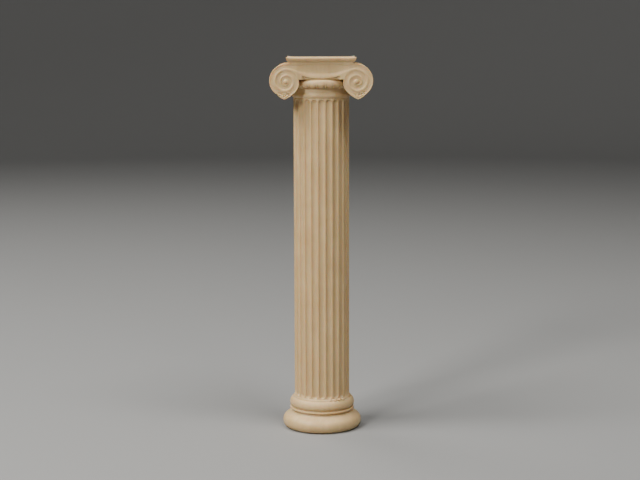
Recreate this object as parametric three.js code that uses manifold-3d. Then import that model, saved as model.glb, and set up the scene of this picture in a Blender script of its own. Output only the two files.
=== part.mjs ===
// A shelf-size model of a whole Ionic column, made in one piece: a round moulded base, a straight
// fluted shaft, a neck with an astragal and an echinus, a scroll capital and a square abacus.
// Millimetres, +Z up. The front looks along -Y, and the origin is the middle of the underside.

import * as THREE from "three";
import { mergeVertices } from "three/addons/utils/BufferGeometryUtils.js";
import Module from "manifold-3d";

// Whole column
const HEIGHT = 150;
const ROUND_STEPS = 44; // steps round everything turned
const ARC_STEPS = 4; // steps in each moulding's curve

// Base, from the floor up
const FOOT_RADIUS = 13.8;
const TORUS_RADIUS = 15.88;
const TORUS_EQUATOR = 2.57;
const TORUS_HANDLE = 5.8; // heights of the two handles of the curve that joins torus and scotia
const SCOTIA_HANDLE = 5.6;
const SCOTIA_RADIUS = 12.3;
const SCOTIA_TOP = 7.4;
const BASE_FILLET_RADIUS = 13;
const BASE_FILLET_BOTTOM = 7.7;
const BASE_FILLET_TOP = 8.2;
const GROOVE_RADIUS = 12.5;
const GROOVE_BOTTOM = 8.35;
const UPPER_TORUS_RADIUS = 13.08;
const UPPER_TORUS_MIDDLE = 10;
const UPPER_TORUS_RISE = 2.5;
const UPPER_TORUS_FALL = 1.5;
const UPPER_TORUS_REACH = 1.9;
const UPPER_TORUS_FROM = -55; // degrees above or below its widest line
const UPPER_TORUS_TO = 74;
const CINCTURE_RADIUS = 11.6;
const CINCTURE_TOP = 12.75;
const SHAFT_FOOT = 13.35;
const CORE_RADIUS = 10; // inside the hollows of the flutes

// Shaft
const SHAFT_RADIUS = 11.15;
const FLUTES = 24;
const FLUTE_DEPTH = 0.7;
const FLUTE_SHARE = 0.8; // share of each pitch that is hollow; the rest is the flat between two flutes
const FLUTE_FLOOR = 0.2; // share of the pitch to each side of its middle where a facet of the hollow ends
const FLUTE_BOTTOM = 13.4;
const FLUTE_TOP = 133.4;
const FLUTE_END = 1.2; // length of a flute's rounded end
const FLUTE_END_STEPS = [0, 0.3, 1]; // shares of that length
const SHAFT_TOP = 134.6;
const SHAFT_SUNK = 0.6; // length of shaft inside the base

// Neck and echinus
const ASTRAGAL_RADIUS = 11.6;
const ASTRAGAL_MIDDLE = 134.95;
const ASTRAGAL_HALF = 1.15;
const ASTRAGAL_REACH = 0.75;
const ASTRAGAL_TO = 48; // degrees above its widest line, where the neck rises out of it
const NECK_RADIUS = 11.25;
const NECK_BOTTOM = 136;
const NECK_MIDDLE = 137.1;
const NECK_TOP = 137.65;
const NECK_EASE = 0.06; // the hollow neck opens out by this much just before each moulding
const ECHINUS_RADIUS = 13.3; // it swells out past the scroll faces
const ECHINUS_MIDDLE = 139.3;
const ECHINUS_FALL = 1.5;
const ECHINUS_RISE = 2.1; // its top is just above the soffit, so the two meet in a crease
const ECHINUS_REACH = 2.4;
const ECHINUS_FROM = -82; // degrees below its widest line, where the neck ends
const LOWER_FULLNESS = 0.7; // below 1, so both halves are fuller than an ellipse
const UPPER_FULLNESS = 0.55;
const ECHINUS_TOP = 142.2;

// Scrolls: each one winds round its eye, from the top outwards, down, inwards and up again
const EYE_X = 13.82;
const EYE_Z = 140.45;
const EYE_RADIUS = 0.9;
const EYE_RISE = 0.3;
const EYE_ROOT = 0.5;
const EYE_STEPS = 16;
const SCROLL_RADIUS = 6.98;
const SCROLL_PITCH = 2.325; // the spiral comes in by this much each turn
const SCROLL_TURNS = 2.15;
const SCROLL_STEPS = 35; // steps in one turn
const INNER_QUARTER = 0.75; // turns from the top to the side towards the column
const DROOP = 0.98; // each scroll sags into a blunt point below, by this much at most
const DROOP_MIDDLE = 17 / SCROLL_STEPS;
const DROOP_SPREAD = 0.092; // share of a turn that the sag takes to fade out on each side
const FACE_Y = 12.8;
const PLATE_THICKNESS = 2.6;
const SOFFIT_Z = 141.2;

// Channel along the scroll face
const RIDGE = 0.8; // width of the ridge between two turns of the channel, most of it inside the spiral
const RIDGE_INSIDE = 0.75;
const CHANNEL_DEPTH = 0.3;
const CHANNEL_STEPS = 20; // steps in one turn
const CHANNEL_FLOOR_FROM = 0.3; // share of the channel's width where its flat floor starts
const CHANNEL_TOP = 148; // at the middle of the face, just inside the abacus
const CHANNEL_SAG = 142;
const CHANNEL_FLARE = [[3.1, 3.95], [4.9, 2.9]]; // inwards from and above the eye, on the lower edge
const CHANNEL_KNEE_X = 6;
const CHANNEL_KNEE_RISE = 0.65;
const CHANNEL_MIDDLE_STEPS = 16;
const CUTTER_CLEARANCE = 1;
const LIP_UNDERSIDE = 141.5;
const LIP_RISE = 1.2; // the lip is higher by this much where it meets the scrolls
const LIP_END_X = 7.4;
const SPANDREL_START_X = 2;
const SPANDREL_STEPS = 6;
const SPANDREL_DEPTH = 0.85;

// Rolls that join each front scroll to the one behind it
const ROLL_END_SCALE = 0.97;
const ROLL_WAIST_SCALE = 0.79;
const ROLL_BAND_SCALE = 0.84;
const ROLL_BAND_HALF = 1.6;
const ROLL_BAND_BEVEL = 0.35;
const ROLL_HALFWAY_Y = 7.2;
const ROLL_END_Y = 11.5;
const BLOCK_HALF_X = 12.3;
const BLOCK_HALF_Y = 11.6;
const BLOCK_BOTTOM = 141.35;
const BLOCK_TOP = 148.2; // inside the abacus; the middle of each face goes up this far too

// Abacus
const ABACUS_BOTTOM = 147.9;
const ABACUS_HALF_BOTTOM = 12.7;
const ABACUS_HALF_TOP = 13.6;
const ABACUS_BULGE = 0.2; // the slanted underside is slightly rounded
const ABACUS_FILLET_BOTTOM = 149.3;
const ABACUS_TOP = HEIGHT - 0.25;
const CORNER_LIFT = HEIGHT - ABACUS_TOP; // the corners curl up
const CORNER_LENGTH = 2.7;
const TOP_MARGIN = 0.4; // the flat top starts this far inside the edge

const BEIGE = 0xd0b48c;
const TURN = 2 * Math.PI;

const wasm = await Module();
wasm.setup();

// ---- Geometry helpers -------------------------------------------------------------------------

// A closed geometry as a solid that can be joined and cut.
function solidOf(geometry) {
  const plain = new THREE.BufferGeometry();
  plain.setAttribute("position", geometry.getAttribute("position"));
  if (geometry.index) plain.setIndex(geometry.index);
  const merged = mergeVertices(plain, 1e-4);
  const mesh = new wasm.Mesh({
    numProp: 3,
    vertProperties: merged.getAttribute("position").array,
    triVerts: new Uint32Array(merged.index.array),
  });
  return new wasm.Manifold(mesh);
}

// The solid as a geometry with flat faces.
function geometryOf(solid) {
  const mesh = solid.getMesh();
  const geometry = new THREE.BufferGeometry();
  geometry.setAttribute("position", new THREE.BufferAttribute(mesh.vertProperties, 3));
  geometry.setIndex(new THREE.BufferAttribute(mesh.triVerts, 1));
  geometry.computeVertexNormals();
  return geometry;
}

// Points [radius, height] along part of an ellipse, with angles in degrees up from outwards. A
// fullness below 1 makes it fuller.
function arc(radius, height, reach, rise, from, to, fullness = 1) {
  const points = [];
  for (let i = 0; i <= ARC_STEPS; i++) {
    const angle = THREE.MathUtils.degToRad(from + ((to - from) * i) / ARC_STEPS);
    const out = Math.max(Math.cos(angle), 0) ** fullness;
    points.push([radius + reach * out, height + rise * Math.sin(angle)]);
  }
  return points;
}

// A solid turned about Z from a profile of [radius, height] that starts and ends on the axis.
function turned(profile) {
  const points = profile.map(([radius, height]) => new THREE.Vector2(radius, height));
  return solidOf(new THREE.LatheGeometry(points, ROUND_STEPS).rotateX(Math.PI / 2));
}

// A solid through a stack of rings with the same number of points, closed by a fan at each end.
function stacked(rings) {
  const count = rings[0].length;
  const vertices = rings.flat();
  const triangles = [];
  for (let ring = 0; ring + 1 < rings.length; ring++) {
    for (let i = 0; i < count; i++) {
      const a = ring * count + i;
      const b = ring * count + ((i + 1) % count);
      triangles.push(a, b, b + count, a, b + count, a + count);
    }
  }
  const closeEnd = (first, middle, reversed) => {
    const centre = vertices.push(middle) - 1;
    for (let i = 0; i < count; i++) {
      const a = first + i;
      const b = first + ((i + 1) % count);
      if (reversed) triangles.push(centre, b, a);
      else triangles.push(centre, a, b);
    }
  };
  closeEnd(0, middleOf(rings[0]), true);
  closeEnd((rings.length - 1) * count, middleOf(rings.at(-1)), false);
  const geometry = new THREE.BufferGeometry();
  geometry.setAttribute("position", new THREE.Float32BufferAttribute(vertices.flat(), 3));
  geometry.setIndex(triangles);
  return solidOf(geometry);
}

// The middle of the box around a ring.
function middleOf(ring) {
  const box = new THREE.Box3().setFromPoints(ring.map((point) => new THREE.Vector3(...point)));
  return box.getCenter(new THREE.Vector3()).toArray();
}

// An outline of [x, z] points in the scroll face's plane, pulled back through a thickness along Y.
function extruded(outline, frontY, backY) {
  const shape = new THREE.Shape(outline.map(([x, z]) => new THREE.Vector2(x, z)));
  const depth = backY - frontY;
  const geometry = new THREE.ExtrudeGeometry(shape, { depth, bevelEnabled: false });
  geometry.rotateX(Math.PI / 2).translate(0, backY, 0);
  return solidOf(geometry);
}

// The same outline on the left side.
const mirrored = (points) => points.map(([x, z]) => [-x, z]).reverse();

// ---- Base -------------------------------------------------------------------------------------

// The lower torus and the scotia above it flow into each other in one S-shaped curve.
function lowerSweep() {
  const curve = new THREE.CubicBezierCurve(
    new THREE.Vector2(TORUS_RADIUS, TORUS_EQUATOR),
    new THREE.Vector2(TORUS_RADIUS, TORUS_HANDLE),
    new THREE.Vector2(SCOTIA_RADIUS, SCOTIA_HANDLE),
    new THREE.Vector2(SCOTIA_RADIUS, SCOTIA_TOP),
  );
  return curve.getPoints(ARC_STEPS + 2).slice(1).map((point) => [point.x, point.y]);
}

function base() {
  const core = UPPER_TORUS_RADIUS - UPPER_TORUS_REACH;
  const middle = UPPER_TORUS_MIDDLE;
  return turned([
    [0, 0],
    ...arc(FOOT_RADIUS, TORUS_EQUATOR, TORUS_RADIUS - FOOT_RADIUS, TORUS_EQUATOR, -90, 0),
    ...lowerSweep(),
    [BASE_FILLET_RADIUS, BASE_FILLET_BOTTOM],
    [BASE_FILLET_RADIUS, BASE_FILLET_TOP],
    [GROOVE_RADIUS, GROOVE_BOTTOM],
    ...arc(core, middle, UPPER_TORUS_REACH, UPPER_TORUS_FALL, UPPER_TORUS_FROM, 0),
    ...arc(core, middle, UPPER_TORUS_REACH, UPPER_TORUS_RISE, 0, UPPER_TORUS_TO).slice(1),
    [CINCTURE_RADIUS, CINCTURE_TOP],
    [SHAFT_RADIUS, SHAFT_FOOT],
    [CORE_RADIUS, SHAFT_FOOT],
    [0, SHAFT_FOOT],
  ]);
}

// ---- Shaft ------------------------------------------------------------------------------------

// How deep the hollow is at a share of the pitch from a flute's middle, so far from its nearer end.
function fluteDepth(share, fromEnd) {
  const across = share / (FLUTE_SHARE / 2);
  const along = 1 - Math.min(fromEnd / FLUTE_END, 1);
  return FLUTE_DEPTH * Math.sqrt(Math.max(0, 1 - across * across - along * along));
}

function shaftRing(height, fluted) {
  const fromEnd = fluted ? Math.min(height - FLUTE_BOTTOM, FLUTE_TOP - height) : 0;
  const shares = [-0.5, -FLUTE_SHARE / 2, -FLUTE_FLOOR, FLUTE_FLOOR, FLUTE_SHARE / 2];
  const ring = [];
  for (let flute = 0; flute < FLUTES; flute++) {
    for (const share of shares) {
      const angle = ((flute + share) / FLUTES) * TURN - TURN / 4;
      const radius = SHAFT_RADIUS - fluteDepth(share, fromEnd);
      ring.push([radius * Math.cos(angle), radius * Math.sin(angle), height]);
    }
  }
  return ring;
}

function shaft() {
  const endSteps = FLUTE_END_STEPS.map((share) => share * FLUTE_END);
  return stacked([
    shaftRing(SHAFT_FOOT - SHAFT_SUNK, false),
    ...endSteps.map((step) => shaftRing(FLUTE_BOTTOM + step, true)),
    ...endSteps.reverse().map((step) => shaftRing(FLUTE_TOP - step, true)),
    shaftRing(SHAFT_TOP, false),
  ]);
}

// ---- Neck: astragal, hollow neck and echinus --------------------------------------------------

function neck() {
  const astragalCore = ASTRAGAL_RADIUS - ASTRAGAL_REACH;
  const echinusCore = ECHINUS_RADIUS - ECHINUS_REACH;
  return turned([
    [0, ASTRAGAL_MIDDLE - ASTRAGAL_HALF],
    ...arc(astragalCore, ASTRAGAL_MIDDLE, ASTRAGAL_REACH, ASTRAGAL_HALF, -90, ASTRAGAL_TO),
    [NECK_RADIUS + NECK_EASE, NECK_BOTTOM],
    [NECK_RADIUS, NECK_MIDDLE],
    [NECK_RADIUS + NECK_EASE, NECK_TOP],
    ...arc(echinusCore, ECHINUS_MIDDLE, ECHINUS_REACH, ECHINUS_FALL, ECHINUS_FROM, 0, LOWER_FULLNESS),
    ...arc(echinusCore, ECHINUS_MIDDLE, ECHINUS_REACH, ECHINUS_RISE, 0, 90, UPPER_FULLNESS).slice(1),
    [echinusCore, ECHINUS_TOP],
    [0, ECHINUS_TOP],
  ]);
}

// ---- Scroll faces -----------------------------------------------------------------------------

// A place on the right scroll, so many turns round from its top, at a distance from its eye.
function onScroll(turns, radius) {
  const angle = turns * TURN;
  return [EYE_X + radius * Math.sin(angle), EYE_Z + radius * Math.cos(angle)];
}

const spiralRadius = (turns) => SCROLL_RADIUS - SCROLL_PITCH * turns;

// The scroll's outer edge: the first turn of the spiral, with the sag below it.
function edgeRadius(turns) {
  const sag = 1 - Math.abs(turns - DROOP_MIDDLE) / DROOP_SPREAD;
  return spiralRadius(turns) + DROOP * Math.max(sag, 0);
}

// The height of the lip's underside under the channel.
const lipUnderside = (x) => LIP_UNDERSIDE + LIP_RISE * (x / LIP_END_X) ** 2;

function faceOutline() {
  const soffitTurns = 1 - Math.acos((SOFFIT_Z - EYE_Z) / spiralRadius(INNER_QUARTER)) / TURN;
  const right = [];
  for (let step = 0; step / SCROLL_STEPS < soffitTurns; step++) {
    right.push(onScroll(step / SCROLL_STEPS, edgeRadius(step / SCROLL_STEPS)));
  }
  right.push(onScroll(soffitTurns, edgeRadius(soffitTurns)));
  const shoulder = [[BLOCK_HALF_X, BLOCK_TOP], [BLOCK_HALF_X, EYE_Z + SCROLL_RADIUS]];
  return [...shoulder, ...right, ...mirrored(right), ...mirrored(shoulder)];
}

// The two edges of the channel at each step, from one eye out over the middle to the other.
function channelStations() {
  const stations = [];
  for (let step = Math.round(SCROLL_TURNS * CHANNEL_STEPS); step >= 0; step--) {
    const turns = step / CHANNEL_STEPS;
    const outer = spiralRadius(turns) - RIDGE_INSIDE * RIDGE;
    const inner = Math.max(spiralRadius(turns + 1) + (1 - RIDGE_INSIDE) * RIDGE, EYE_RADIUS);
    stations.push([onScroll(turns, outer), onScroll(turns, inner)]);
  }
  const [lastOuter, lastInner] = stations.at(-1);
  const lowerEdge = new THREE.SplineCurve([
    new THREE.Vector2(...lastInner),
    ...CHANNEL_FLARE.map(([inwards, up]) => new THREE.Vector2(EYE_X - inwards, EYE_Z + up)),
    new THREE.Vector2(CHANNEL_KNEE_X, CHANNEL_SAG + CHANNEL_KNEE_RISE),
    new THREE.Vector2(0, CHANNEL_SAG),
  ]);
  const lower = lowerEdge.getPoints(CHANNEL_MIDDLE_STEPS).slice(1);
  const upper = new THREE.LineCurve(new THREE.Vector2(...lastOuter), new THREE.Vector2(0, CHANNEL_TOP));
  lower.forEach((point, i) => {
    const above = upper.getPoint((i + 1) / lower.length);
    stations.push([[above.x, above.y], [point.x, point.y]]);
  });
  const mirror = ([x, z]) => [-x, z];
  const left = stations.slice(0, -1).reverse().map((pair) => pair.map(mirror));
  return [...stations, ...left];
}

// The channel as a cutter: a shallow trough whose floor is a little narrower than its mouth.
function channelCutter() {
  const clearY = -FACE_Y - CUTTER_CLEARANCE;
  const floorY = -FACE_Y + CHANNEL_DEPTH;
  const rings = channelStations().map(([[outerX, outerZ], [innerX, innerZ]]) => {
    const at = (share, y) => [outerX + (innerX - outerX) * share, y, outerZ + (innerZ - outerZ) * share];
    return [
      at(0, clearY),
      at(0, -FACE_Y),
      at(CHANNEL_FLOOR_FROM, floorY),
      at(1 - CHANNEL_FLOOR_FROM, floorY),
      at(1, -FACE_Y),
      at(1, clearY),
    ];
  });
  return stacked(rings);
}

// The sunk corner between the lip, the soffit and each scroll.
function spandrelCutter() {
  const belowSoffit = SOFFIT_Z - CUTTER_CLEARANCE;
  const outline = [[LIP_END_X, belowSoffit], [SPANDREL_START_X, belowSoffit]];
  for (let step = 0; step <= SPANDREL_STEPS; step++) {
    const x = THREE.MathUtils.lerp(SPANDREL_START_X, LIP_END_X, step / SPANDREL_STEPS);
    outline.push([x, lipUnderside(x)]);
  }
  const frontY = -FACE_Y - CUTTER_CLEARANCE;
  const backY = -FACE_Y + SPANDREL_DEPTH;
  return extruded(outline, frontY, backY).add(extruded(mirrored(outline), frontY, backY));
}

function eye(side) {
  const dome = arc(0, 0, EYE_RADIUS, EYE_RISE + CHANNEL_DEPTH, 0, 90);
  const profile = [[0, -EYE_ROOT], [EYE_RADIUS, -EYE_ROOT], ...dome];
  const points = profile.map(([x, y]) => new THREE.Vector2(x, y));
  const geometry = new THREE.LatheGeometry(points, EYE_STEPS);
  geometry.rotateX(Math.PI);
  geometry.translate(side * EYE_X, -FACE_Y + CHANNEL_DEPTH, EYE_Z);
  return solidOf(geometry);
}

function scrollFace() {
  return extruded(faceOutline(), -FACE_Y, -FACE_Y + PLATE_THICKNESS)
    .subtract(channelCutter())
    .subtract(spandrelCutter())
    .add(eye(-1))
    .add(eye(1));
}

// ---- Rolls and block --------------------------------------------------------------------------

// The size of the roll's section at a distance from the middle of the column.
function rollScale(y) {
  if (Math.abs(y) <= ROLL_BAND_HALF) return ROLL_BAND_SCALE;
  const waistEnd = ROLL_BAND_HALF + ROLL_BAND_BEVEL;
  const share = (Math.abs(y) - waistEnd) / (ROLL_END_Y - waistEnd);
  return ROLL_WAIST_SCALE + (ROLL_END_SCALE - ROLL_WAIST_SCALE) * share * share;
}

// The roll's section: the scroll's outline, closed over the side that is inside the block.
function rollRing(side, y) {
  const scale = rollScale(y);
  const ring = [];
  for (let step = 0; step < SCROLL_STEPS; step++) {
    const turns = step / SCROLL_STEPS;
    const back = Math.max(turns - INNER_QUARTER, 0) / (1 - INNER_QUARTER);
    const radius = edgeRadius(turns) * (1 - back) + SCROLL_RADIUS * back;
    const [x, z] = onScroll(turns, radius * scale);
    ring.push([side * x, y, z]);
  }
  return side > 0 ? ring.reverse() : ring;
}

function roll(side) {
  const half = [ROLL_END_Y, ROLL_HALFWAY_Y, ROLL_BAND_HALF + ROLL_BAND_BEVEL, ROLL_BAND_HALF];
  const stations = [...half, ...half.map((y) => -y).reverse()];
  return stacked(stations.map((y) => rollRing(side, y)));
}

function block() {
  const geometry = new THREE.BoxGeometry(2 * BLOCK_HALF_X, 2 * BLOCK_HALF_Y, BLOCK_TOP - BLOCK_BOTTOM);
  geometry.translate(0, 0, (BLOCK_TOP + BLOCK_BOTTOM) / 2);
  return solidOf(geometry);
}

// ---- Abacus -----------------------------------------------------------------------------------

// A square ring with two more points beside each corner, so that the corner alone can curl up.
// A cut takes the corner back to the middle of the line between those two points.
function abacusRing(half, height, lift = 0, cut = 0) {
  const near = half - CORNER_LENGTH;
  const tip = half - cut * (CORNER_LENGTH / 2);
  const corner = [[half, -near, 0], [half, near, 0], [tip, tip, lift]];
  const ring = [];
  for (let quarter = 0; quarter < 4; quarter++) {
    const cos = Math.round(Math.cos((quarter * TURN) / 4));
    const sin = Math.round(Math.sin((quarter * TURN) / 4));
    for (const [x, y, up] of corner) ring.push([x * cos - y * sin, x * sin + y * cos, height + up]);
  }
  return ring;
}

function abacus() {
  const slant = [];
  for (let step = 0; step <= ARC_STEPS; step++) {
    const share = step / ARC_STEPS;
    const half = THREE.MathUtils.lerp(ABACUS_HALF_BOTTOM, ABACUS_HALF_TOP, share);
    const bulge = ABACUS_BULGE * Math.sin(Math.PI * share);
    slant.push(abacusRing(half + bulge, THREE.MathUtils.lerp(ABACUS_BOTTOM, ABACUS_FILLET_BOTTOM, share)));
  }
  return stacked([
    ...slant,
    abacusRing(ABACUS_HALF_TOP, ABACUS_TOP, CORNER_LIFT),
    abacusRing(ABACUS_HALF_TOP - TOP_MARGIN, ABACUS_TOP, 0, 1),
  ]);
}

// ---- The column -------------------------------------------------------------------------------

function column() {
  const face = scrollFace();
  const backFace = solidOf(geometryOf(face).rotateZ(Math.PI));
  return base()
    .add(shaft())
    .add(neck())
    .add(block())
    .add(face)
    .add(backFace)
    .add(roll(-1))
    .add(roll(1))
    .add(abacus());
}

const material = new THREE.MeshStandardMaterial({ color: BEIGE, roughness: 0.6, metalness: 0 });
const mesh = new THREE.Mesh(geometryOf(column()), material);
mesh.name = "column";
const part = new THREE.Group();
part.add(mesh);

export default part;
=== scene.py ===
"""The look of a shelf-size, one-piece Ionic column in matte beige plastic.

The lengths of the column are in millimetres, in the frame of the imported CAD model: +Z up, the front
along -Y, the origin in the middle of the underside. Its meshes are scaled to metres as they are made.
The material, the floor, the lights and the camera are in metres.
"""

import math

import bmesh
import bpy
import numpy as np
from mathutils import Matrix, Vector, kdtree, noise
from mathutils.geometry import delaunay_2d_cdt


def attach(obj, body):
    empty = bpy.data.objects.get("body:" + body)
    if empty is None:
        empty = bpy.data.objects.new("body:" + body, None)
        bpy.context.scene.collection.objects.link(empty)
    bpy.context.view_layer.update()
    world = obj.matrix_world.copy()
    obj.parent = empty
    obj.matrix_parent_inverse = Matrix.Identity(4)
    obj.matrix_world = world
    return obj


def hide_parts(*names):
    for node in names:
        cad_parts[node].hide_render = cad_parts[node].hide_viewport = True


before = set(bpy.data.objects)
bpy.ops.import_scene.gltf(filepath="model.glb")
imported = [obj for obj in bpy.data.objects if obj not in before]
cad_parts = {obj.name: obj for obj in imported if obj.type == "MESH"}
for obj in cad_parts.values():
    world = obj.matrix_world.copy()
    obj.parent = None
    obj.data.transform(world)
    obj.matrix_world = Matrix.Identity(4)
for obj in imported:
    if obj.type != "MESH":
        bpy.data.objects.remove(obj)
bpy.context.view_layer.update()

MM = 0.001
TURN = 2 * math.pi

# Arcs are (start, end, steps), with the angles in degrees up from straight outwards.

# Base
FOOT_RADIUS = 13.8
FOOT_MARGIN = 0.8
TORUS_RADIUS = 15.88
TORUS_EQUATOR = 2.57
TORUS_BELOW = (-90, 0, 12)
TORUS_HANDLE = 5.8  # heights of the two handles of the curve from the torus to the scotia
SCOTIA_HANDLE = 5.6
SCOTIA_RADIUS = 12.3
SCOTIA_TOP = 7.55
SCOTIA_STRAIGHT = 0.1
SCOTIA_STEPS = 18
FILLET_RADIUS = 13.0
FILLET_TOP = 8.25
FILLET_LOW_EDGE = ((0.2, 0.0), (0.03, 0.1), (0.0, 0.2))  # (in from the side, up from the bottom)
FILLET_HIGH_EDGE = ((0.0, -0.18), (0.05, -0.05), (0.16, 0.01))  # (in from the side, up from the top)
GROOVE_RADIUS = 12.5
GROOVE_PLACES = ((0.0, 0.1), (0.04, 0.22))  # (in from the radius, up from the fillet)
UPPER_TORUS_RADIUS = 13.08
UPPER_TORUS_MIDDLE = 10.0
UPPER_TORUS_RISE = 2.5
UPPER_TORUS_FALL = 1.5
UPPER_TORUS_REACH = 1.9
UPPER_TORUS_BELOW = (-62, -6, 8)
UPPER_TORUS_ABOVE = (0, 74, 12)
UPPER_TORUS_FULLNESS = 0.7
CINCTURE_RADIUS = 11.6
CINCTURE_TOP = 12.75
CINCTURE_HEIGHT = 0.25
CINCTURE_SPREAD = 0.03
CINCTURE_SLOPE = ((11.5, 12.92), (11.38, 13.05), (11.24, 13.2))  # (radius, height) up to the shaft

# Shaft; shares are of a pitch of the fluting, from a flute's middle
SHAFT_RADIUS = 11.15
SHAFT_FOOT = 13.35
SHAFT_TOP = 133.65
SHAFT_RINGS = 60
FLUTES = 24
FLUTE_DEPTH = 0.7
FLUTE_EDGE = 0.4
FLUTE_BOTTOM = 13.4
FLUTE_TOP = 133.4
FLUTE_END = 1.2
FLUTE_END_PLACES = (0.0, 0.08, 0.2, 0.35, 0.55, 0.8, 1.05, FLUTE_END)
HALF_PITCH = (0.05, 0.15, 0.24, 0.31, 0.36, 0.39, 0.42)
ARRIS_SOFTNESS = 0.022
ARRIS_REACH = 2  # how far the softening looks to each side, in softnesses
ARRIS_SAMPLES = 9
DASH_HEIGHT = 133.85  # short grooves above the shaft, one over each arris
DASH_DEPTH = 0.09
DASH_EDGE = (0.2, 0.32)

# Stray plastic at the shaft's foot
BLOB_MIDDLE = 0.66  # radians round from the front, to the right
BLOB_SPREAD = 0.3
BLOB_BOTTOM = UPPER_TORUS_MIDDLE + 1.9
BLOB_SIZE = 0.75
BLOBS_A_TURN = 75  # steps of the noise round the shaft, and in a millimetre of height
BLOBS_A_MM = 2.2
BLOB_PATTERN = 0.7
BLOB_LEVELS = (-0.1, 0.35)  # the noise where a lump starts and where it is full

# Neck and echinus
ASTRAGAL_RADIUS = 11.6
ASTRAGAL_MIDDLE = 134.95
ASTRAGAL_HALF = 1.15
ASTRAGAL_REACH = 0.75
ASTRAGAL_ARC = (-66, 48, 10)
NECK_RADIUS = 11.25
NECK_PLACES = ((0.06, 136.0), (0.0, 136.3), (0.0, 137.1), (0.06, 137.65))  # (out, height)
ECHINUS_RADIUS = 13.3
ECHINUS_MIDDLE = 139.3
ECHINUS_FALL = 1.5
ECHINUS_RISE = 2.1
ECHINUS_REACH = 2.4
ECHINUS_TOP = 142.2
ECHINUS_BELOW = (-82, -5, 10)
ECHINUS_BELOW_FULLNESS = 0.7
ECHINUS_ABOVE = (0, 84, 10)
ECHINUS_ABOVE_FULLNESS = 0.55

# Carving on the echinus; shares across are of a pitch from an egg's middle, and up of the height
CARVED_UP_TO = (0.15, 0.75)
EGG_EDGE = 0.36
EGG_EDGE_SPREAD = 0.07
EGG_GROOVE = 0.2
DART_EDGE = (0.4, 0.46)
DART_GROOVE = 0.04
SCALLOPED_UP_TO = (0.0, 0.4)
SCALLOP_RISE = 0.3
SCALLOP_DART_DROP = 0.2
SCALLOP_DROP = 0.03

# Scroll faces
EYE_X = 13.82
EYE_Z = 140.45
EYE_RADIUS = 0.9
EYE_DOME = 0.42
EYE_SINK = 0.22
SINK_TURNS = (1.9, 2.3)
SCROLL_RADIUS = 6.96
SCROLL_PITCH = 2.325
SAG = 1.12
SAG_MIDDLE = 0.486
SAG_SPREAD = 0.098
SAG_SHARPNESS = 1.25
FACE_Y = 12.8
PLATE_THICKNESS = 2.6
SOFFIT_Z = 141.2
ARRIS = 0.13

# The spiral channel; shares are of its width, from its outer edge
RELIEF = 0.16
INNER_RELIEF = 0.24
INNER_TURNS = (0.9, 1.2)
FADE_TURNS = (1.75, 2.3)
OUTER_SIDE = (0.04, 0.28)
INNER_SIDE = (0.66, 0.92)

# The broad channel between the scrolls; shares are of its height, from its top
CANALIS_TOP_DEPTH = 0.2
CANALIS_DEPTH = 0.66
CANALIS_LIP_DEPTH = 0.3
CANALIS_TOP = 148.2
CANALIS_HALF = 12.3
CANALIS_DEEPENS = (-0.4, 0.7)
CANALIS_UPPER_SIDE = (-0.01, 0.05)
CANALIS_UPPER_SIDE_SHIFT = (0.05, 0.23)  # how much lower it is beside the scrolls
CANALIS_LOWER_SIDE = (0.66, 0.98)
CANALIS_LOWER_SIDE_SHIFT = 0.06
BESIDE_SCROLL = (4.5, 10.5)  # the x where it starts to change into the spiral's, and where it has
CHANNEL_EDGE_X = (0.0, 6.0, 8.92, 10.72, 13.82)
CHANNEL_EDGE_Z = (142.0, 142.65, 143.35, 144.4, 145.1)
CHANNEL_EDGE_POWERS = 6
CHANNEL_EDGE_PLACES = 60
LIP_UNDERSIDE = 141.5
LIP_RISE = 1.2
LIP_END_X = 7.4
SPANDREL_DEPTH = 0.8
SPANDREL_EDGE = (-0.1, 0.12)
SPANDREL_END = (LIP_END_X - 0.9, LIP_END_X + 0.3)

# Marks of the printing on the scroll faces
NOTCH_TURNS = 0.405  # the left scroll's outline is nicked here
NOTCH_SPREAD = 0.011
NOTCH_DEPTH = 0.28
SCAR_OUTWARDS = 0.7  # from below the eye to the scar's middle
SCAR_SHIFT = 0.3  # how much farther out it is on the right, and less far on the left
SCAR_HALF_LENGTH = 2.8
SCAR_RADIUS = 5.45
SCAR_HALF_WIDTH = 1.0
SCAR_EDGE = 3  # how steeply the pits fade at its edge
PIT_SCALE = 1.9
PIT_DEPTH = 0.42
PIT_PATTERN = (7.3, 3.1)
PIT_LEVELS = (0.08, 0.3)  # the noise where a pit starts and where it is full

# How closely the faces are divided
OUTLINE_STEPS = 150
SOFFIT_PLACES = 60
TOP_PLACES = 72
SPIRAL_STEPS = 132
SPIRAL_TURNS = 2.6
SCROLL_END_GUESS = 0.75
SCROLL_END_ROUNDS = 20
ACROSS_STEPS = 10
EYE_RINGS = np.linspace(0.1, 1, 8)  # shares of the eye's radius
EYE_PLACES = 30
EYE_PLACES_LEAST = 6
COLUMN_STEP = 0.24
COLUMN_TOP_GAP = 0.2
COLUMN_PLACES = 26
LIP_PLACES = 5
LIP_ABOVE = 0.12
LIP_CREASE = (0.06, -0.2)
SPANDREL_START = 0.35
SPANDREL_STEP = 0.22
SPIRAL_CLEARANCE = 0.08
OUTLINE_CLEARANCE = 0.17
SAME_PLACE = 1e-5

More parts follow.
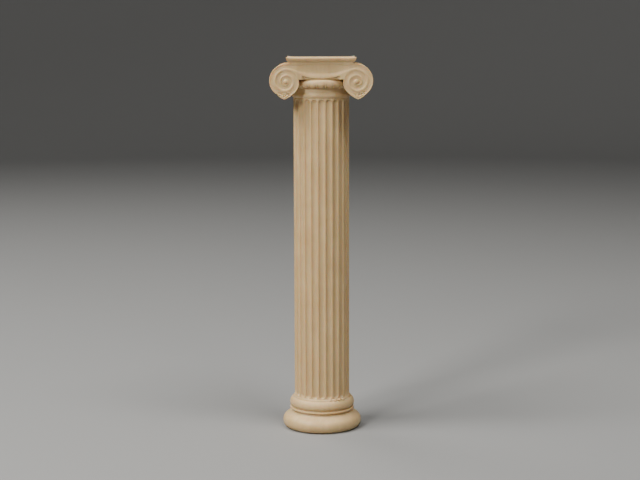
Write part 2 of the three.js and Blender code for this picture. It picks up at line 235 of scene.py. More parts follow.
# Rolls, block and abacus
ROLL_END_Y = 11.5
ROLL_END_SCALE = 0.97
ROLL_WAIST_SCALE = 0.79
ROLL_BELL = 2.2
ROLL_BAND_SCALE = 0.84
ROLL_BAND_HALF = 1.6
ROLL_BAND_BEVEL = 0.35
ROLL_BAND_EASE = 0.12
ROLL_BAND_STATIONS = (0, 0.8, 1.3, 1.45, 1.6, 1.75, 1.9, 2.05)
ROLL_BELL_START = 2.4
ROLL_BELL_STATIONS = 16
ROLL_STEPS = 120
ROLL_CLOSING = 0.75  # turns after which the section widens again to where it began
BLOCK_HALF = (12.3, 11.6)
BLOCK_Z = (141.35, 148.2)
ABACUS_BOTTOM = 147.9
ABACUS_HALF_BOTTOM = 12.7
ABACUS_HALF_TOP = 13.6
ABACUS_BULGE = 0.2
ABACUS_SIDE_RINGS = 9
ABACUS_FILLET_BOTTOM = 149.3
ABACUS_FILLET_STEP = 0.04
ABACUS_FILLET_EDGE = 0.1
ABACUS_FILLET_LIFT = 0.02
ABACUS_TOP = 149.75
ABACUS_TOP_RINGS = (  # (in from the side, down from the top, share of the corners' lift, inset)
    (0.0, 0.26, 0.8, 0.0),
    (0.0, 0.1, 0.95, 0.12),
    (0.0, 0.0, 1.0, 0.28),
    (0.5, 0.0, 0.6, 0.0),
    (1.1, 0.0, 0.2, 0.0),
    (1.8, 0.0, 0.0, 0.0),
)
CORNER_LIFT = 0.25
CORNER_LENGTH = 2.7
CORNER_ROUNDING = 0.06
CORNER_STEPS = 4
CORNER_PLACES = 9
CORNER_FLARE = 0.4  # how far out a corner goes, as a share of its lift
CORNER_SPARED = 0.8  # the share of an inset that a corner is spared
SIDE_PLACES = 24
SMOOTH_BELOW = 38  # degrees between faces that are shaded as one


# ---- Mesh helpers -----------------------------------------------------------------------------


def smooth(low, high, value):
    """0 below low, 1 above high, with an easy curve between them."""
    share = np.clip((value - low) / (high - low), 0.0, 1.0)
    return share * share * (3 - 2 * share)


def mesh_object(name, vertices, faces):
    """A mesh object from vertices in millimetres."""
    mesh = bpy.data.meshes.new(name)
    mesh.from_pydata((np.asarray(vertices, float) * MM).tolist(), [], faces)
    mesh.update()
    made = bpy.data.objects.new(name, mesh)
    bpy.context.scene.collection.objects.link(made)
    return made


def lofted(name, rings):
    """A closed solid through rings of the same number of points, each end closed by a fan."""
    rings = np.asarray(rings, float)
    count = rings.shape[1]
    vertices = rings.reshape(-1, 3).tolist()
    faces = []
    for ring in range(len(rings) - 1):
        for i in range(count):
            a = ring * count + i
            b = ring * count + (i + 1) % count
            faces.append((a, b, b + count, a + count))
    for first, turned_over in ((0, True), ((len(rings) - 1) * count, False)):
        middle = len(vertices)
        vertices.append(rings[first // count].mean(0).tolist())
        for i in range(count):
            a = first + i
            b = first + (i + 1) % count
            faces.append((middle, b, a) if turned_over else (middle, a, b))
    return mesh_object(name, vertices, faces)


def arc(radius, height, reach, rise, span, fullness=1.0):
    """Points (radius, height) along part of an ellipse.

    The span is (start, end, steps), in degrees up from outwards. A fullness below 1 makes the arc
    fuller.
    """
    start, end, steps = span
    angles = np.radians(np.linspace(start, end, steps + 1))
    out = np.clip(np.cos(angles), 0, 1) ** fullness
    return list(zip(radius + reach * out, height + rise * np.sin(angles)))


def sweep(places, steps):
    """Points along a cubic Bezier curve through four places, without the first."""
    s = np.linspace(0, 1, steps + 1)[1:, None]
    weights = np.hstack([(1 - s) ** 3, 3 * s * (1 - s) ** 2, 3 * s**2 * (1 - s), s**3])
    return [tuple(point) for point in weights @ np.array(places)]


# ---- Base, shaft, neck and echinus: one turned and fluted body ---------------------------------

# Places across one pitch of the fluting, closer together at the arrises.
PITCH_PLACES = np.array([-0.5, *(-s for s in reversed(HALF_PITCH)), *HALF_PITCH])
PLACES = np.tile(PITCH_PLACES, FLUTES)
ANGLES = (np.repeat(np.arange(FLUTES), len(PITCH_PLACES)) + PLACES) / FLUTES * TURN


def soft_flute(place, along):
    """The hollow's depth across a pitch, with a worn arris; along rises to 1 at a flute's end."""
    total = np.zeros_like(place)
    offsets = np.linspace(-ARRIS_REACH, ARRIS_REACH, ARRIS_SAMPLES)
    weights = np.exp(-(offsets**2) / 2)
    for offset, weight in zip(offsets, weights):
        across = (place + offset * ARRIS_SOFTNESS) / FLUTE_EDGE
        total += weight * np.sqrt(np.clip(1 - across**2 - along**2, 0, None))
    return FLUTE_DEPTH * total / weights.sum()


def base_profile():
    """Points (radius, height) from the underside up to the foot of the shaft."""
    reach = TORUS_RADIUS - FOOT_RADIUS
    to_scotia = (
        (TORUS_RADIUS, TORUS_EQUATOR),
        (TORUS_RADIUS, TORUS_HANDLE),
        (SCOTIA_RADIUS, SCOTIA_HANDLE),
        (SCOTIA_RADIUS, SCOTIA_TOP - SCOTIA_STRAIGHT),
    )
    core = UPPER_TORUS_RADIUS - UPPER_TORUS_REACH
    upper_torus = (core, UPPER_TORUS_MIDDLE, UPPER_TORUS_REACH)
    return [
        (FOOT_RADIUS / 2, 0),
        (FOOT_RADIUS - FOOT_MARGIN, 0),
        *arc(FOOT_RADIUS, TORUS_EQUATOR, reach, TORUS_EQUATOR, TORUS_BELOW),
        *sweep(to_scotia, SCOTIA_STEPS),
        *[(FILLET_RADIUS - inwards, SCOTIA_TOP + up) for inwards, up in FILLET_LOW_EDGE],
        *[(FILLET_RADIUS - inwards, FILLET_TOP + up) for inwards, up in FILLET_HIGH_EDGE],
        *[(GROOVE_RADIUS - inwards, FILLET_TOP + up) for inwards, up in GROOVE_PLACES],
        *arc(*upper_torus, UPPER_TORUS_FALL, UPPER_TORUS_BELOW, UPPER_TORUS_FULLNESS),
        *arc(*upper_torus, UPPER_TORUS_RISE, UPPER_TORUS_ABOVE),
        (CINCTURE_RADIUS + CINCTURE_SPREAD, CINCTURE_TOP - CINCTURE_HEIGHT),
        (CINCTURE_RADIUS, CINCTURE_TOP),
        *CINCTURE_SLOPE,
    ]


def neck_profile():
    """Points (radius, height) from the astragal up to the top of the echinus."""
    astragal_core = ASTRAGAL_RADIUS - ASTRAGAL_REACH
    core = ECHINUS_RADIUS - ECHINUS_REACH
    echinus = (core, ECHINUS_MIDDLE, ECHINUS_REACH)
    return [
        *arc(astragal_core, ASTRAGAL_MIDDLE, ASTRAGAL_REACH, ASTRAGAL_HALF, ASTRAGAL_ARC),
        *[(NECK_RADIUS + out, height) for out, height in NECK_PLACES],
        *arc(*echinus, ECHINUS_FALL, ECHINUS_BELOW, ECHINUS_BELOW_FULLNESS),
        *arc(*echinus, ECHINUS_RISE, ECHINUS_ABOVE, ECHINUS_ABOVE_FULLNESS),
        (core, ECHINUS_TOP),
    ]


def blobs(height):
    """Small lumps of stray plastic in the crease at the shaft's foot, front right."""
    mask = np.exp(-(((ANGLES - BLOB_MIDDLE) / BLOB_SPREAD) ** 2))
    mask *= smooth(BLOB_BOTTOM, CINCTURE_TOP, height)
    up = height * BLOBS_A_MM
    lumps = [noise.noise(Vector((a * BLOBS_A_TURN, BLOB_PATTERN, up))) for a in ANGLES / TURN]
    return BLOB_SIZE * mask * smooth(*BLOB_LEVELS, np.array(lumps))


def turned_ring(radius, height):
    """One ring of the body; radius and height are each a number or one value for each angle."""
    ring = np.empty((len(ANGLES), 3))
    ring[:, 0] = radius * np.sin(ANGLES)
    ring[:, 1] = -radius * np.cos(ANGLES)
    ring[:, 2] = height
    return ring


def echinus_ring(radius, height):
    """A ring carved with worn eggs, centred where the flutes are, and a dart between each two."""
    side = np.abs(PLACES)
    up = (height - ECHINUS_MIDDLE + ECHINUS_FALL) / (ECHINUS_RISE + ECHINUS_FALL)
    groove = np.exp(-(((side - EGG_EDGE) / EGG_EDGE_SPREAD) ** 2))
    dart = smooth(*DART_EDGE, side)
    carved = 1 - smooth(*CARVED_UP_TO, up)
    depth = carved * (EGG_GROOVE * groove + DART_GROOVE * dart)
    scalloped = 1 - smooth(*SCALLOPED_UP_TO, up)
    raised = (SCALLOP_RISE * groove - SCALLOP_DART_DROP * dart - SCALLOP_DROP) * scalloped
    return turned_ring(radius - depth, height + raised)


def body():
    """The base, shaft, neck and echinus, up to where the block covers them."""
    rings = [turned_ring(radius + blobs(z), z) for radius, z in base_profile()]
    rings.append(turned_ring(SHAFT_RADIUS, SHAFT_FOOT))
    low = [FLUTE_BOTTOM + place for place in FLUTE_END_PLACES]
    high = [FLUTE_TOP - place for place in reversed(FLUTE_END_PLACES)]
    middle = np.linspace(low[-1], high[0], SHAFT_RINGS + 2)[1:-1]
    for z in (*low, *middle, *high):
        from_end = min(z - FLUTE_BOTTOM, FLUTE_TOP - z)
        along = 1 - min(from_end / FLUTE_END, 1)
        rings.append(turned_ring(SHAFT_RADIUS - soft_flute(PLACES, along), z))
    rings.append(turned_ring(SHAFT_RADIUS, SHAFT_TOP))
    dashes = DASH_DEPTH * smooth(*DASH_EDGE, np.abs(PLACES))
    rings.append(turned_ring(SHAFT_RADIUS - dashes, DASH_HEIGHT))
    for radius, z in neck_profile():
        on_echinus = ECHINUS_MIDDLE - ECHINUS_FALL < z < ECHINUS_TOP
        rings.append((echinus_ring if on_echinus else turned_ring)(radius, z))
    return lofted("body", rings)


# ---- Scroll faces: plates carved with the spiral channel ---------------------------------------


def spiral(turns):
    """The spiral's distance from the eye, so many turns round from the scroll's top."""
    return SCROLL_RADIUS - SCROLL_PITCH * turns


def outer_radius(turns):
    """The scroll's outer edge: the first turn of the spiral and the blunt point below it."""
    share = np.clip(1 - np.abs(turns - SAG_MIDDLE) / SAG_SPREAD, 0, 1)
    return spiral(turns) + SAG * share**SAG_SHARPNESS


def on_scroll(turns, radius):
    """A place on the right scroll, so many turns round from its top and so far from its eye."""
    angle = np.asarray(turns) * TURN
    return EYE_X + radius * np.sin(angle), EYE_Z + radius * np.cos(angle)


def from_eye(x, z):
    """How far a place on the right scroll is from its eye, and its share of a turn from the top."""
    dx, dz = x - EYE_X, z - EYE_Z
    return math.hypot(dx, dz), (math.atan2(dx, dz) / TURN) % 1


def scroll_end():
    """How many turns round the outer edge has gone where it meets the soffit."""
    end = SCROLL_END_GUESS
    for _ in range(SCROLL_END_ROUNDS):
        end = 1 - math.acos((SOFFIT_Z - EYE_Z) / spiral(end)) / TURN
    return end


def plate_outline():
    """The face's outline, from the top of the right scroll down and round to the left one's."""
    turns = np.linspace(0, scroll_end(), OUTLINE_STEPS)
    x, z = on_scroll(turns, outer_radius(turns))
    notch = NOTCH_DEPTH * np.exp(-(((turns - NOTCH_TURNS) / NOTCH_SPREAD) ** 2))
    left_x, left_z = on_scroll(turns, outer_radius(turns) - notch)
    soffit = np.linspace(x[-1], -x[-1], SOFFIT_PLACES)[1:-1]
    soffit_z = np.full(len(soffit), SOFFIT_Z)
    top = np.linspace(-CANALIS_HALF, CANALIS_HALF, TOP_PLACES)
    top_z = np.full(TOP_PLACES, CANALIS_TOP)
    outline_x = [x, soffit, -left_x[::-1], [-CANALIS_HALF], top, [CANALIS_HALF]]
    outline_z = [z, soffit_z, left_z[::-1], [z[0]], top_z, [z[0]]]
    return np.column_stack([np.concatenate(outline_x), np.concatenate(outline_z)])


# A smooth curve near the places on the channel's lower edge, the same to the left and the right.
FINE_X = np.linspace(0, EYE_X, CHANNEL_EDGE_PLACES)
FINE_Z = np.polyval(
    np.polyfit(
        [-x for x in CHANNEL_EDGE_X[1:]] + list(CHANNEL_EDGE_X),
        list(CHANNEL_EDGE_Z[1:]) + list(CHANNEL_EDGE_Z),
        CHANNEL_EDGE_POWERS,
    ),
    FINE_X,
)


def channel_edge(x):
    """The height of the channel's lower edge between the two scrolls."""
    return float(np.interp(x, FINE_X, FINE_Z))


def lip_underside(x):
    """The height of the underside of the lip below the channel."""
    return LIP_UNDERSIDE + LIP_RISE * (x / LIP_END_X) ** 2


def scar(x, z, side):
    """Pits that the supports left in the rim below each eye; side is 1 on the right, -1 on the left."""
    along = (x - EYE_X - SCAR_OUTWARDS - SCAR_SHIFT * side) / SCAR_HALF_LENGTH
    distance, _ = from_eye(x, z)
    across = (distance - SCAR_RADIUS) / SCAR_HALF_WIDTH
    mask = 1 - along * along - across * across
    if mask <= 0 or z > EYE_Z:
        return 0.0
    pattern_x, pattern_y = PIT_PATTERN
    at = Vector((x * PIT_SCALE + pattern_x * side, pattern_y * side, z * PIT_SCALE))
    pits = smooth(*PIT_LEVELS, noise.noise(at))
    return -PIT_DEPTH * float(pits) * min(1.0, SCAR_EDGE * mask)


def middle_relief(x, z):
    """The face between the scrolls: the broad channel, its lip and the sunk corners below."""
    edge = channel_edge(x)
    top = EYE_Z + SCROLL_RADIUS
    beside = smooth(*BESIDE_SCROLL, x)
    lip_depth = CANALIS_LIP_DEPTH * (1 - beside)
    if z > edge:
        down = (top - z) / (top - edge)
        lean = CANALIS_DEPTH - CANALIS_TOP_DEPTH
        deep = CANALIS_TOP_DEPTH + lean * smooth(*CANALIS_DEEPENS, down)
        floor = deep * (1 - beside) + RELIEF * beside
        if down < 0.5:
            start, end = CANALIS_UPPER_SIDE
            start_shift, end_shift = CANALIS_UPPER_SIDE_SHIFT
            hollow = smooth(start + start_shift * beside, end + end_shift * beside, down)
            ridge = CANALIS_TOP_DEPTH * (1 - beside)
        else:
            start, end = CANALIS_LOWER_SIDE
            hollow = 1 - smooth(start, end - CANALIS_LOWER_SIDE_SHIFT * beside, down)
            ridge = lip_depth
        return -(floor * hollow + ridge * (1 - hollow))
    below_lip = smooth(*SPANDREL_EDGE, lip_underside(x) - z)
    sunk = below_lip * (1 - smooth(*SPANDREL_END, x))
    return -(lip_depth + (SPANDREL_DEPTH - lip_depth) * sunk)


def relief(x, z, side):
    """How far the face stands out at x (0 or more) and z; the hollows are below zero."""
    distance, turn = from_eye(x, z)
    inwards = (SCROLL_RADIUS - distance) / SCROLL_PITCH - turn
    if inwards < 0 and x < EYE_X and z > EYE_Z:
        return middle_relief(x, z)
    wound = max(0, math.floor(inwards))
    across = max(inwards, 0) - wound
    turns = turn + wound
    hollow = smooth(*OUTER_SIDE, across) * (1 - smooth(*INNER_SIDE, across))
    fade = 1 - smooth(*FADE_TURNS, turns)
    depth = RELIEF + (INNER_RELIEF - RELIEF) * smooth(*INNER_TURNS, turns)
    height = -depth * hollow * fade
    height -= EYE_SINK * smooth(*SINK_TURNS, turns)
    height += scar(x, z, side)
    near = distance / EYE_RADIUS
    if near >= 1:
        return height
    return max(height, EYE_DOME * math.sqrt(1 - near * near) - EYE_SINK)


def within(outline, points):
    """Which of the points are inside a closed outline."""
    inside = np.zeros(len(points), bool)
    for (ax, az), (bx, bz) in zip(outline, np.roll(outline, -1, axis=0)):
        if az == bz:
            continue
        crosses = (az > points[:, 1]) != (bz > points[:, 1])
        at = ax + (points[:, 1] - az) / (bz - az) * (bx - ax)
        inside ^= crosses & (points[:, 0] < at)
    return inside


def scroll_places():
    """Places on the right scroll, along and across its spiral, and in rings on its eye."""
    places = []
    for step in range(int(SPIRAL_STEPS * SPIRAL_TURNS)):
        turns = step / SPIRAL_STEPS
        outer = float(outer_radius(turns))
        inner = spiral(turns + 1)
        for across in np.linspace(0, 1, ACROSS_STEPS + 1)[:-1]:
            radius = outer + (inner - outer) * across
            if radius > EYE_RADIUS:
                places.append([float(v) for v in on_scroll(turns, radius)])
    for radius in EYE_RINGS * EYE_RADIUS:
        count = max(EYE_PLACES_LEAST, round(radius / EYE_RADIUS * EYE_PLACES))
        for i in range(count):
            places.append([float(v) for v in on_scroll(i / count, radius)])
    return places


def channel_places():
    """Places on the right half of the channel, its lip and the corner below, in upright columns."""
    places = []
    crease_top, crease_bottom = LIP_CREASE
    for x in np.arange(0.0, EYE_X, COLUMN_STEP):
        edge = channel_edge(x)
        under = lip_underside(min(x, LIP_END_X))
        column_z = [
            *np.linspace(CANALIS_TOP - COLUMN_TOP_GAP, edge, COLUMN_PLACES),
            *np.linspace(edge, under + LIP_ABOVE, LIP_PLACES)[1:],
            *np.linspace(under + crease_top, under + crease_bottom, LIP_PLACES),
            *np.arange(under - SPANDREL_START, SOFFIT_Z, -SPANDREL_STEP),
        ]
        for z in column_z:
            distance, turn = from_eye(x, z)
            if z > SOFFIT_Z and distance > spiral(turn) + SPIRAL_CLEARANCE:
                places.append([float(x), float(z)])
    return places


def carved_places(outline):
    """A row just inside the outline, then the places on both halves of the face."""
    near_edge = kdtree.KDTree(len(outline))
    for i, (x, z) in enumerate(outline):
        near_edge.insert((x, z, 0), i)
    near_edge.balance()
    ahead = np.roll(outline, -1, axis=0) - np.roll(outline, 1, axis=0)
    normals = np.column_stack([-ahead[:, 1], ahead[:, 0]])
    normals /= np.linalg.norm(normals, axis=1)[:, None]
    places = []
    for (x, z), (nx, nz) in zip(outline, normals):
        places.append((x - nx * ARRIS, z - nz * ARRIS))
    for x, z in scroll_places() + channel_places():
        for side in (-1, 1):
            if near_edge.find((side * x, z, 0))[2] > OUTLINE_CLEARANCE:
                places.append((side * x, z))
    return places


def scroll_plate(name, back):
    """One carved plate; the back one is the front one turned half round."""
    outline = plate_outline()
    count = len(outline)
    places = [*outline, *carved_places(outline)]
    points = [Vector((float(x), float(z))) for x, z in places]
    edges = [(i, (i + 1) % count) for i in range(count)]
    flat, _, triangles, from_points, _, _ = delaunay_2d_cdt(points, edges, [], 1, SAME_PLACE, True)
    vertices = []
    where = {}
    for index, ((x, z), sources) in enumerate(zip(flat, from_points)):
        on_outline = [source for source in sources if source < count]
        where.update((source, index) for source in on_outline)
        out = relief(abs(x), z, 1 if x > 0 else -1)
        vertices.append((x, -FACE_Y - out + (ARRIS if on_outline else 0), z))
    rim = [where[i] for i in range(count)]
    flat = np.array([tuple(p) for p in flat])
    middles = flat[np.array(triangles)].mean(axis=1)
    faces = [tuple(t) for t, kept in zip(triangles, within(outline, middles)) if kept]
    first = len(vertices)
    vertices.extend((x, -FACE_Y + PLATE_THICKNESS, z) for x, z in outline)
    for i in range(count):
        j = (i + 1) % count
        faces.append((rim[i], rim[j], first + j, first + i))
    faces.append(tuple(first + i for i in range(count)))
    vertices = np.array(vertices)
    if back:
        vertices[:, :2] *= -1
    return mesh_object(name, vertices, faces)


# ---- Rolls, block and abacus ------------------------------------------------------------------


def roll_scale(y):
    """The size of the roll's section at a distance from the middle of the column."""
    side = abs(y)
    waist_end = ROLL_BAND_HALF + ROLL_BAND_BEVEL
    share = max(side - waist_end, 0) / (ROLL_END_Y - waist_end)
    bell = ROLL_WAIST_SCALE + (ROLL_END_SCALE - ROLL_WAIST_SCALE) * share**ROLL_BELL
    band = 1 - smooth(ROLL_BAND_HALF - ROLL_BAND_EASE, waist_end, side)
    return bell + (ROLL_BAND_SCALE - ROLL_WAIST_SCALE) * band


def roll(name, side):
    """The roll between the two scrolls on one side: bell-shaped halves and a band between them."""
    turns = np.arange(ROLL_STEPS) / ROLL_STEPS
    back = np.clip((turns - ROLL_CLOSING) / (1 - ROLL_CLOSING), 0, 1)
    radius = outer_radius(turns) * (1 - back) + SCROLL_RADIUS * back
    bell_stations = np.linspace(ROLL_BELL_START, ROLL_END_Y, ROLL_BELL_STATIONS)
    half = [*ROLL_BAND_STATIONS, *bell_stations]
    rings = []
    for y in sorted({-y for y in half} | set(half)):
        x, z = on_scroll(turns, radius * roll_scale(y))
        rings.append(np.column_stack([side * x, np.full(len(x), y), z]))
    rings = np.array(rings)
    if side < 0:
        rings = rings[:, ::-1]
    return lofted(name, rings)


def block():
    """The plain block between the rolls, under the abacus."""
    (x, y), (low, high) = BLOCK_HALF, BLOCK_Z
    square = [(x, -y), (x, y), (-x, y), (-x, -y)]
    return lofted("block", [[(*p, z) for p in square] for z in (low, high)])


def abacus_ring(half, height, lift, inset=0.0):
    """A square ring with rounded corners that curl up by lift, and out by less.

    The inset moves its sides in, and its corners hardly.
    """
    plain = half - CORNER_LENGTH
    middle = half - CORNER_ROUNDING
    straight = [
        *np.linspace(-middle, -plain, CORNER_PLACES),
        *np.linspace(-plain, plain, SIDE_PLACES)[1:-1],
        *np.linspace(plain, middle, CORNER_PLACES),
    ]
    side = [(half, y) for y in straight]
    for angle in np.radians(np.linspace(0, 90, CORNER_STEPS + 1)[1:-1]):
        out_x = CORNER_ROUNDING * math.cos(angle)
        out_y = CORNER_ROUNDING * math.sin(angle)
        side.append((middle + out_x, middle + out_y))
    ring = []
    for quarter in range(4):
        cos = round(math.cos(quarter * TURN / 4))
        sin = round(math.sin(quarter * TURN / 4))
        for x, y in side:
            reach = max(0.0, min(abs(x), abs(y)) - plain) / CORNER_LENGTH
            out = CORNER_FLARE * lift * reach**2 - inset * (1 - CORNER_SPARED * reach**2)
            scale = 1 + out / half
            up = height + lift * reach**2
            ring.append((scale * (x * cos - y * sin), scale * (x * sin + y * cos), up))
    return ring


def abacus():
    """The square slab on top: a bulging side that widens upwards, a thin fillet and the flat top."""
    rings = []
    widening = ABACUS_HALF_TOP - ABACUS_FILLET_STEP - ABACUS_HALF_BOTTOM
    for share in np.linspace(0, 1, ABACUS_SIDE_RINGS):
        out = ABACUS_HALF_BOTTOM + widening * share
        out += ABACUS_BULGE * math.sin(math.pi * share)
        up = ABACUS_BOTTOM + (ABACUS_FILLET_BOTTOM - ABACUS_BOTTOM) * share
        rings.append(abacus_ring(out, up, 0))
    fillet_edge = ABACUS_FILLET_BOTTOM + ABACUS_FILLET_EDGE
    rings.append(abacus_ring(ABACUS_HALF_TOP, fillet_edge, ABACUS_FILLET_LIFT))
    for inwards, down, lift, inset in ABACUS_TOP_RINGS:
        half = ABACUS_HALF_TOP - inwards
        rings.append(abacus_ring(half, ABACUS_TOP - down, lift * CORNER_LIFT, inset))
    return lofted("abacus", rings)


# ---- The one piece ----------------------------------------------------------------------------


def remove_scraps(mesh):
    """Cut the mesh into triangles and take out the pairs that lie back to back."""
    shape = bmesh.new()
    shape.from_mesh(mesh)
    bmesh.ops.triangulate(shape, faces=shape.faces)
    found = {}
    for face in shape.faces:
        found.setdefault(frozenset(face.verts), []).append(face)
    scraps = [face for same in found.values() if len(same) > 1 for face in same]
    bmesh.ops.delete(shape, geom=scraps, context="FACES")
    shape.to_mesh(mesh)
    shape.free()


def joined(first, others):
    """One closed mesh from overlapping solids; the solids themselves are removed."""
    for other in others:
        cut = first.modifiers.new(other.name, "BOOLEAN")
        cut.operation = "UNION"
        cut.solver = "MANIFOLD"
        cut.object = other
    graph = bpy.context.evaluated_depsgraph_get()
    mesh = bpy.data.meshes.new_from_object(first.evaluated_get(graph))
    remove_scraps(mesh)
    for solid in (first, *others):
        bpy.data.objects.remove(solid)
    made = bpy.data.objects.new("ionic_column", mesh)
    bpy.context.scene.collection.objects.link(made)
    return made


def column():
    """The whole column as one object, with its soft and sharp edges."""
    made = joined(
        body(),
        [
            block(),
            scroll_plate("front_face", False),
            scroll_plate("back_face", True),
            roll("left_roll", -1),
            roll("right_roll", 1),
            abacus(),
        ],
    )
    made.data.shade_smooth()
    made.data.set_sharp_from_angle(angle=math.radians(SMOOTH_BELOW))
    return made


# ---- Material ---------------------------------------------------------------------------------

DARK_BEIGE = (0.615, 0.452, 0.258, 1)
LIGHT_BEIGE = (0.665, 0.502, 0.296, 1)
CLOUD_LEVELS = (0.3, 0.7)
CLOUD_NOISE = (160, 4)  # (scale, detail)
STREAK_SHADE = (0.93, 0.92, 0.90, 1)
NO_SHADE = (1, 1, 1, 1)
STREAK_LEVELS = (0.35, 0.65)
STREAK_NOISE = (500, 3, (1, 1, 0.08))  # (scale, detail, squash)
ROUGHNESS = (0.4, 0.55)
ROUGHNESS_NOISE = (260, 3)
LAYER_SCALE = 1250  # fine rings, about four to a millimetre
LAYER_DISTORTION = 0.4
LAYER_BUMP = (0.25, 0.00003)  # (strength, distance)
GRAIN_NOISE = (1900, 5)
GRAIN_BUMP = (0.35, 0.00006)
SUBSURFACE_WEIGHT = 0.5
SUBSURFACE_RADIUS = (1.0, 0.5, 0.22)
SUBSURFACE_SCALE = 0.0015
SPECULAR_LEVEL = 0.5


def plastic():
    """Matte beige printed plastic: faint mottling, fine layer lines and soft light under its skin."""
    material = bpy.data.materials.new("beige_plastic")
    material.use_nodes = True
    tree = material.node_tree
    shader = tree.nodes["Principled BSDF"]
    place = tree.nodes.new("ShaderNodeTexCoord").outputs["Object"]

    def noise_node(scale, detail, squash=(1, 1, 1)):
        mapping = tree.nodes.new("ShaderNodeMapping")
        mapping.inputs["Scale"].default_value = squash
        tree.links.new(place, mapping.inputs["Vector"])
        made = tree.nodes.new("ShaderNodeTexNoise")
        made.inputs["Scale"].default_value = scale
        made.inputs["Detail"].default_value = detail
        tree.links.new(mapping.outputs["Vector"], made.inputs["Vector"])
        return made.outputs["Fac"]

    def ramp_node(value, levels, colours):
        made = tree.nodes.new("ShaderNodeValToRGB")
        for element, level, colour in zip(made.color_ramp.elements, levels, colours):
            element.position = level
            element.color = colour
        tree.links.new(value, made.inputs["Fac"])
        return made.outputs["Color"]

    def bump_node(height, strength, distance):
        made = tree.nodes.new("ShaderNodeBump")
        made.inputs["Strength"].default_value = strength
        made.inputs["Distance"].default_value = distance
        tree.links.new(height, made.inputs["Height"])
        return made

    cloudy = ramp_node(noise_node(*CLOUD_NOISE), CLOUD_LEVELS, (DARK_BEIGE, LIGHT_BEIGE))
    streaks = ramp_node(noise_node(*STREAK_NOISE), STREAK_LEVELS, (STREAK_SHADE, NO_SHADE))
    mix = tree.nodes.new("ShaderNodeMix")
    mix.data_type = "RGBA"
    mix.blend_type = "MULTIPLY"
    mix.inputs["Factor"].default_value = 1
    tree.links.new(cloudy, mix.inputs[6])  # the two colours and the mixed one go by number
    tree.links.new(streaks, mix.inputs[7])
    tree.links.new(mix.outputs[2], shader.inputs["Base Color"])

    rough = tree.nodes.new("ShaderNodeMapRange")
    rough.inputs["To Min"].default_value, rough.inputs["To Max"].default_value = ROUGHNESS
    tree.links.new(noise_node(*ROUGHNESS_NOISE), rough.inputs["Value"])
    tree.links.new(rough.outputs["Result"], shader.inputs["Roughness"])

    layers = tree.nodes.new("ShaderNodeTexWave")
    layers.bands_direction = "Z"
    layers.inputs["Scale"].default_value = LAYER_SCALE
    layers.inputs["Distortion"].default_value = LAYER_DISTORTION
    tree.links.new(place, layers.inputs["Vector"])
    layer_bump = bump_node(layers.outputs["Fac"], *LAYER_BUMP)
    grain_bump = bump_node(noise_node(*GRAIN_NOISE), *GRAIN_BUMP)
    tree.links.new(layer_bump.outputs["Normal"], grain_bump.inputs["Normal"])
    tree.links.new(grain_bump.outputs["Normal"], shader.inputs["Normal"])

    shader.inputs["Subsurface Weight"].default_value = SUBSURFACE_WEIGHT
    shader.inputs["Subsurface Radius"].default_value = SUBSURFACE_RADIUS
    shader.inputs["Subsurface Scale"].default_value = SUBSURFACE_SCALE
    shader.inputs["Specular IOR Level"].default_value = SPECULAR_LEVEL
    return material


# ---- Floor, light and camera, in metres --------------------------------------------------------

FLOOR_FLAT = 1.3  # from the middle to where the floor starts to curve up
FLOOR_RINGS = (0.05, 0.4, FLOOR_FLAT * 0.8)
FLOOR_BEND = 0.6
FLOOR_BEND_STEPS = 16
FLOOR_WALL = 0.5
FLOOR_SIDES = 96
FLOOR_COLOUR = (0.3, 0.3, 0.297, 1)
FLOOR_ROUGHNESS = 0.8


def floor_profile():
    """Points (radius, height) of the floor: flat, then curved up into a low wall."""
    profile = [(radius, 0) for radius in FLOOR_RINGS]
    for angle in np.radians(np.linspace(0, 90, FLOOR_BEND_STEPS + 1)):
        out = FLOOR_FLAT + FLOOR_BEND * math.sin(angle)
        profile.append((out, FLOOR_BEND * (1 - math.cos(angle))))
    profile.append((FLOOR_FLAT + FLOOR_BEND, FLOOR_BEND + FLOOR_WALL))
    return profile


def stage():
    """A plain pale floor that curves up all round into a low wall."""
    profile = floor_profile()
    count = FLOOR_SIDES
    angles = np.arange(count) / count * TURN
    vertices = [(0, 0, 0)]
    for radius, height in profile:
        vertices += [(radius * math.cos(a), radius * math.sin(a), height) for a in angles]
    faces = [(0, 1 + i, 1 + (i + 1) % count) for i in range(count)]
    for ring in range(len(profile) - 1):
        for i in range(count):
            a = 1 + ring * count + i
            b = 1 + ring * count + (i + 1) % count
            faces.append((a, a + count, b + count, b))
    mesh = bpy.data.meshes.new("floor")
    mesh.from_pydata(vertices, [], faces)
    mesh.shade_smooth()
    floor = bpy.data.objects.new("floor", mesh)
    bpy.context.scene.collection.objects.link(floor)
    material = bpy.data.materials.new("pale_floor")
    material.use_nodes = True
    shader = material.node_tree.nodes["Principled BSDF"]
    shader.inputs["Base Color"].default_value = FLOOR_COLOUR
    shader.inputs["Roughness"].default_value = FLOOR_ROUGHNESS
    mesh.materials.append(material)


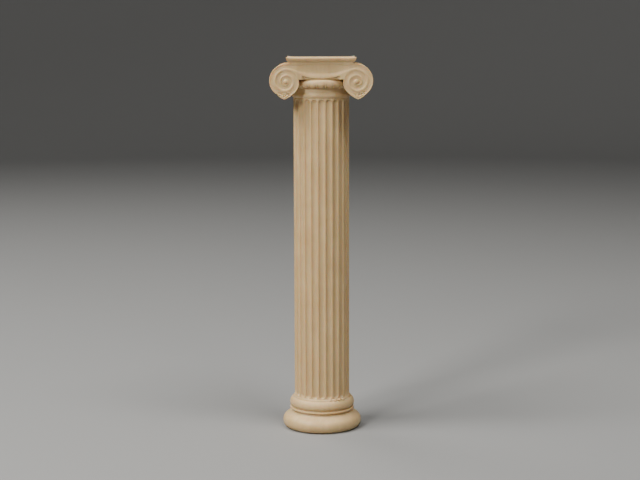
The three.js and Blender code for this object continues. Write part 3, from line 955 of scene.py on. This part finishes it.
LIGHT_AIM = Vector((0, 0, 0.08))
LIGHT_DISTANCE = 1.1
WARM = (1, 0.985, 0.96)
NEUTRAL = (1, 0.99, 0.97)
SKY_COLOUR = (0.95, 0.97, 1, 1)
SKY_STRENGTH = 0.01
SOFTBOXES = (  # (name, degrees to the right of the front, degrees up, side, watts, colour)
    ("key", -36, 31, 0.22, 5.4, WARM),
    ("high_left", -68, 57, 0.45, 8.9, WARM),
    ("high_right", 48, 64, 0.45, 6.2, NEUTRAL),
    ("low_right", 24, 22, 0.16, 0.6, NEUTRAL),
    ("back", -140, 45, 0.45, 2.0, NEUTRAL),
)


def softbox(name, towards_right, up, size, power, colour):
    """A square light that looks at the column; angles in degrees, from the front and from level."""
    data = bpy.data.lights.new(name, "AREA")
    data.shape = "SQUARE"
    data.size = size
    data.energy = power
    data.color = colour
    lamp = bpy.data.objects.new(name, data)
    turn, rise = math.radians(towards_right), math.radians(up)
    away = Vector(
        (math.sin(turn) * math.cos(rise), -math.cos(turn) * math.cos(rise), math.sin(rise))
    )
    lamp.location = LIGHT_AIM + LIGHT_DISTANCE * away
    lamp.rotation_euler = away.to_track_quat("Z", "Y").to_euler()
    lamp.visible_camera = False
    bpy.context.scene.collection.objects.link(lamp)


def light():
    """The softboxes and a faint sky."""
    world = bpy.data.worlds.new("studio")
    world.use_nodes = True
    sky = world.node_tree.nodes["Background"]
    sky.inputs["Color"].default_value = SKY_COLOUR
    sky.inputs["Strength"].default_value = SKY_STRENGTH
    bpy.context.scene.world = world
    for place in SOFTBOXES:
        softbox(*place)


CAMERA_PLACE = (-0.00065, -0.578897, 0.159352)
CAMERA_DOWN = 8.143  # degrees below level
CAMERA_ROLL = -0.167
CAMERA_LENS = 81.56
CAMERA_SENSOR = 36
CAMERA_NEAREST = 0.01


def camera():
    """The photo's point of view."""
    data = bpy.data.cameras.new("camera")
    data.sensor_width = CAMERA_SENSOR
    data.lens = CAMERA_LENS
    data.clip_start = CAMERA_NEAREST
    made = bpy.data.objects.new("camera", data)
    pitch = Matrix.Rotation(math.radians(90 - CAMERA_DOWN), 4, "X")
    tilt = Matrix.Rotation(math.radians(CAMERA_ROLL), 4, "Z")
    made.matrix_world = Matrix.Translation(CAMERA_PLACE) @ pitch @ tilt
    bpy.context.scene.collection.objects.link(made)
    bpy.context.scene.camera = made


piece = column()
piece.data.materials.clear()
piece.data.materials.append(plastic())
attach(piece, "root")
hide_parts("column")
stage()
light()
camera()
bpy.context.scene.view_settings.view_transform = "AgX"
bpy.context.scene.view_settings.look = "AgX - Medium High Contrast"
